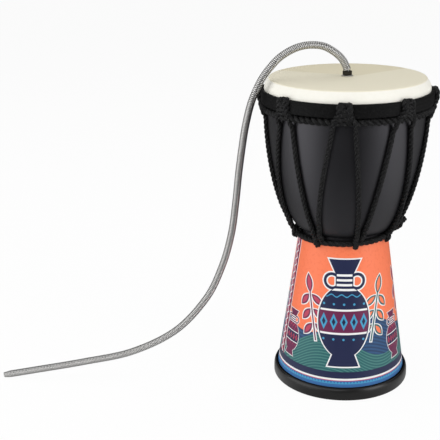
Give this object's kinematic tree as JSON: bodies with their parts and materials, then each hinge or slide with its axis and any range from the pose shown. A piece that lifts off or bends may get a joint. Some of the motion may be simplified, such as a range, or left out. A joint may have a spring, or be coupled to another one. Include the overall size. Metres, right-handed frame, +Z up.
{
  "type": "spring drum",
  "caption": "Small rope-tuned goblet drum whose head carries a long steel coil spring that hangs to the floor and makes a thunder sound when shaken.",
  "frame": {"origin": "centre of the foot ring's underside, on the floor", "axes": "+Z up along the drum's axis to the head; the picture looks along +Y from the front, and the spring leaves towards -X"},
  "size_m": [0.4573, 0.1824, 0.3614],
  "materials": {
    "shell_black": "satin black moulded shell",
    "printed_wrap": "printed vinyl wrap, coral ground with blue, teal and magenta motifs",
    "foot_rubber": "matt black rubber",
    "drum_skin": "pale cream coated skin",
    "hoop_wire": "plain steel wire",
    "hoop_band": "satin black coat",
    "black_rope": "black laid cord",
    "bright_steel": "bright steel",
    "dark_steel": "black oxide steel"
  },
  "bodies": {
    "drum": {"shell": "shell_black", "printed_wrap": "printed_wrap", "foot_ring": "foot_rubber", "drumhead": "drum_skin", "flesh_hoop": "hoop_wire", "crown_hoop": "hoop_band", "running_rope": "black_rope", "bottom_ring_rope": "black_rope", "rope_hitch_1": "black_rope", "rope_hitch_2": "black_rope", "rope_hitch_3": "black_rope", "rope_hitch_4": "black_rope", "rope_hitch_5": "black_rope", "rope_hitch_6": "black_rope", "rope_hitch_7": "black_rope", "rope_hitch_8": "black_rope", "rope_run_01": "black_rope", "rope_run_02": "black_rope", "rope_run_03": "black_rope", "rope_run_04": "black_rope", "rope_run_05": "black_rope", "rope_run_06": "black_rope", "rope_run_07": "black_rope", "rope_run_08": "black_rope", "rope_run_09": "black_rope", "rope_run_10": "black_rope", "rope_run_11": "black_rope", "rope_run_12": "black_rope", "rope_run_13": "black_rope", "rope_run_14": "black_rope", "rope_run_15": "black_rope", "rope_run_16": "black_rope", "rope_end_knot": "black_rope"},
    "spring_mount": {"head_bolt": "bright_steel", "spring_nut": "dark_steel", "inner_washer": "bright_steel", "outer_washer": "bright_steel"},
    "spring": {"spring": "bright_steel"}
  },
  "joints": [
    {"name": "spring_swivel", "type": "hinge", "parent": "drum", "child": "spring_mount", "pos_m": [0, 0, 0.325], "axis": [0, 0, 1], "continuous": true},
    {"name": "spring_lift", "type": "hinge", "parent": "spring_mount", "child": "spring", "pos_m": [0.00375, 0.00089, 0.3309], "axis": [-0.2325, 0.9726, 0], "range_deg": [0, 70]}
  ]
}
